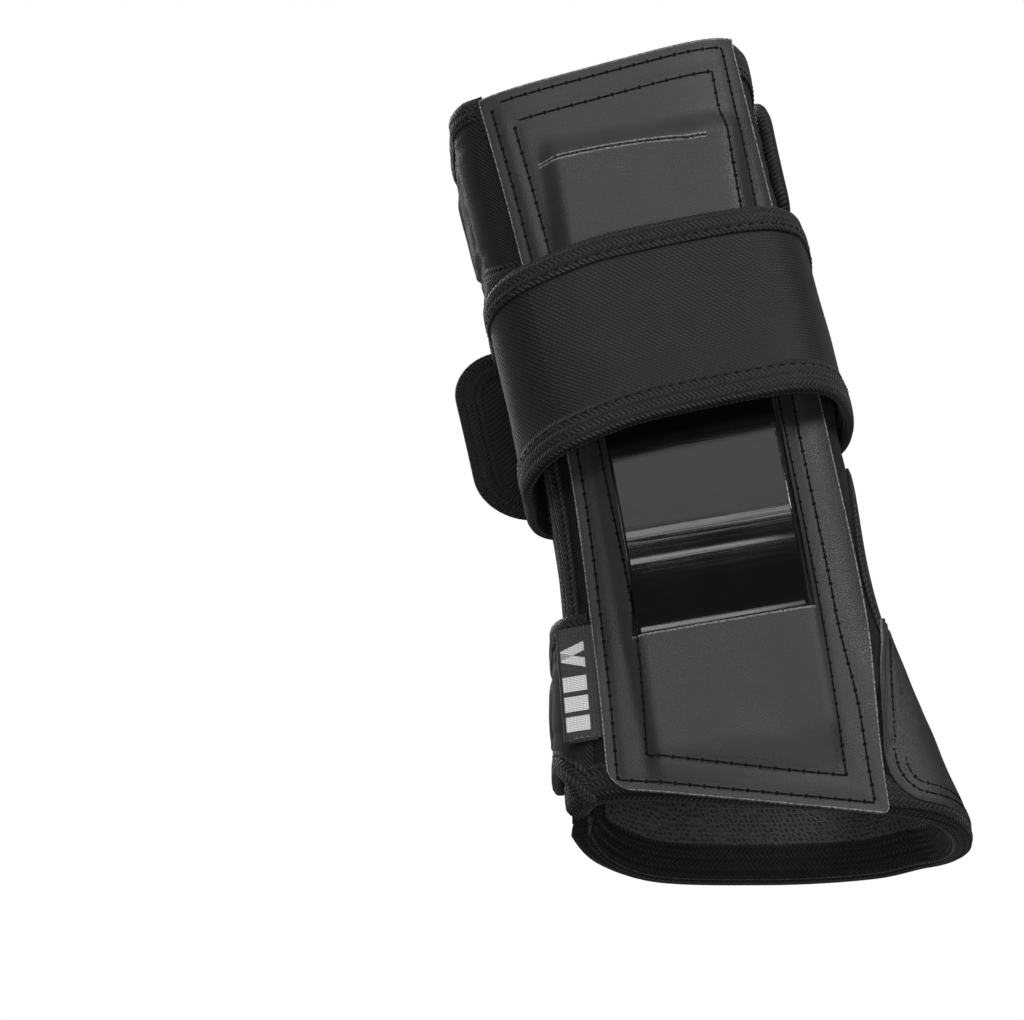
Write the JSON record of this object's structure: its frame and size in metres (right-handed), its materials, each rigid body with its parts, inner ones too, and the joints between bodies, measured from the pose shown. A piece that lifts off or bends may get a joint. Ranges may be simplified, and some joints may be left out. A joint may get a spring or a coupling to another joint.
{
  "type": "wrist guard",
  "caption": "Slip-on wrist guard for the left hand: padded fabric sleeve with a thumb hole, bowed palm splint, leather palm panel, elastic wrist strap and two closing flaps.",
  "frame": {"origin": "middle of the wrist, at the height of the middle of the wrist strap, inside the sleeve", "axes": "+Z along the forearm towards the elbow, fingers towards -Z; -Y out of the palm, +Y out of the back of the hand; +X towards the thumb"},
  "size_m": [0.1125, 0.0794, 0.2217],
  "materials": {
    "nylon_shell": "twill weave, dull",
    "foam": "soft foam",
    "knit_lining": "knitted mesh, matt",
    "stay_plastic": "matt",
    "edge_tape": "ribbed woven tape",
    "leather": "smooth grain, satin",
    "backing_cloth": "plain weave, matt",
    "splint_plastic": "glossy",
    "elastic": "fine elastic weave",
    "loop_pile": "brushed loop pile",
    "hook_tape": "dense hook tape",
    "label_cloth": "woven satin with a pale motif"
  },
  "bodies": {
    "sleeve": {"outer_shell": "nylon_shell", "foam_padding": "foam", "lining": "knit_lining", "back_stay": "stay_plastic", "finger_edge_tape": "edge_tape", "forearm_edge_tape": "edge_tape", "back_edge_tape": "edge_tape", "palm_edge_tape": "edge_tape", "thumb_hole_tape": "edge_tape", "palm_backing": "backing_cloth", "palm_panel": "leather", "upper_pocket": "leather", "lower_pocket": "leather", "strap_band": "elastic", "strap_lower_tape": "edge_tape", "strap_upper_tape": "edge_tape", "loop_panel": "loop_pile", "thumb_patch": "leather", "side_tab": "label_cloth"},
    "splint": {"palm_splint": "splint_plastic"},
    "upper_closure": {"upper_flap": "nylon_shell", "upper_flap_tape": "edge_tape", "upper_flap_hook": "hook_tape"},
    "lower_closure": {"lower_flap": "nylon_shell", "lower_flap_tape": "edge_tape", "lower_flap_hook": "hook_tape"},
    "strap_end": {"strap_tongue": "elastic", "tongue_tape": "edge_tape", "tongue_hook": "hook_tape", "label_patch": "label_cloth"}
  },
  "joints": [
    {"name": "splint_slide", "type": "slide", "parent": "sleeve", "child": "splint", "axis": [0, 0, 1], "range_m": [0, 0.005]},
    {"name": "upper_flap_hinge", "type": "hinge", "parent": "sleeve", "child": "upper_closure", "pos_m": [-0.04213, -0.01803, 0.051], "axis": [-0.0603, -0.0004, 0.9982], "range_deg": [0, 120]},
    {"name": "lower_flap_hinge", "type": "hinge", "parent": "sleeve", "child": "lower_closure", "pos_m": [-0.04186, -0.01818, -0.09], "axis": [0.1345, 0.0044, 0.9909], "range_deg": [0, 120]},
    {"name": "strap_end_hinge", "type": "hinge", "parent": "sleeve", "child": "strap_end", "pos_m": [0.04465, -0.01092, -0.0025], "axis": [0.0691, -0.0002, -0.9976], "range_deg": [0, 110]}
  ]
}
